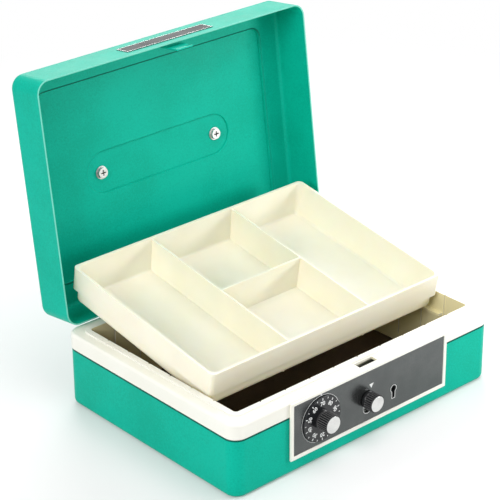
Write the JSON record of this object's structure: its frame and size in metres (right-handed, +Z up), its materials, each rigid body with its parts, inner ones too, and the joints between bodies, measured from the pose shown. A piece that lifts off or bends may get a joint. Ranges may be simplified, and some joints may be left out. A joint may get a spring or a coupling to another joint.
{
  "type": "cash box",
  "caption": "Steel cash box with a moulded rim, hinged lid with swinging bail handle, dial and key lock with a push knob, and a lift-out coin tray leaning in its mouth.",
  "frame": {"origin": "centre of the flat underside of the base", "axes": "+Z up, +X to the right seen from the lock, +Y from the lock to the hinges"},
  "size_m": [0.2508, 0.2505, 0.241],
  "materials": {
    "green_enamel": "fine orange-peel powder coat",
    "ivory_moulding": "satin",
    "felt_mat": "matte",
    "charcoal_plate": "satin",
    "black_moulding": "satin",
    "bright_metal": "satin bright",
    "zinc_steel": "zinc plated",
    "brass_wheel": "plain"
  },
  "bodies": {
    "base": {"base_shell": "green_enamel", "rim_liner": "ivory_moulding", "floor_mat": "felt_mat", "lock_bezel": "ivory_moulding", "lock_plate": "charcoal_plate", "lock_case": "zinc_steel", "lock_case_screws": "zinc_steel", "key_housing": "zinc_steel", "bolt_posts": "zinc_steel", "hinge_base_leaves": "zinc_steel", "hinge_base_rivets": "zinc_steel", "hinge_pins": "bright_metal", "knob_spring": "zinc_steel"},
    "dial": {"dial_disc": "black_moulding", "dial_knob": "black_moulding", "dial_cap": "bright_metal", "dial_spindle": "zinc_steel", "driver_wheel": "brass_wheel", "combination_disc": "brass_wheel", "spindle_clip": "zinc_steel"},
    "push": {"push_knob": "black_moulding", "push_cap": "bright_metal", "latch_slide": "zinc_steel"},
    "key": {"key_plug": "zinc_steel", "lock_cam": "zinc_steel"},
    "bolt": {"lock_bolt": "zinc_steel"},
    "lid": {"lid_shell": "green_enamel", "striker_tongue": "green_enamel", "label_plate": "charcoal_plate", "handle_posts": "black_moulding", "handle_screws": "bright_metal", "handle_washers": "bright_metal", "hinge_lid_leaves": "zinc_steel", "hinge_lid_rivets": "zinc_steel"},
    "handle": {"handle_bail": "bright_metal", "handle_grip": "black_moulding"},
    "tray": {"coin_tray": "ivory_moulding"}
  },
  "joints": [
    {"name": "lid_hinge", "type": "hinge", "parent": "base", "child": "lid", "pos_m": [0, 0.0898, 0.06135], "axis": [1, 0, 0], "range_deg": [0, 97.35]},
    {"name": "tray_swing", "type": "hinge", "parent": "lid", "child": "tray", "pos_m": [0, 0.08977, 0.08514], "axis": [1, 0, 0], "range_deg": [-107.5, 0.2]},
    {"name": "handle_swing", "type": "hinge", "parent": "lid", "child": "handle", "pos_m": [0, 0.14031, 0.14538], "axis": [1, 0, 0], "range_deg": [-5, 90]},
    {"name": "dial_spin", "type": "hinge", "parent": "base", "child": "dial", "pos_m": [-0.0481, -0.092, 0.0346], "axis": [0, 1, 0], "continuous": true},
    {"name": "push_slide", "type": "slide", "parent": "base", "child": "push", "axis": [0, 0, 1], "range_m": [-0.0074, 0], "stiffness_N_per_m": 250, "springref_m": 0.003, "deforming": ["knob_spring"]},
    {"name": "key_turn", "type": "hinge", "parent": "base", "child": "key", "pos_m": [0.0227, -0.09, 0.0278], "axis": [0, -1, 0], "range_deg": [0, 90]},
    {"name": "bolt_slide", "type": "slide", "parent": "base", "child": "bolt", "axis": [-1, 0, 0], "range_m": [0, 0.0051]}
  ],
  "couplings": [
    {"joint": "tray_swing", "follows": "lid_hinge", "ratio": -1.1017},
    {"joint": "bolt_slide", "follows": "key_turn", "m_per_rad": 0.0031831}
  ]
}
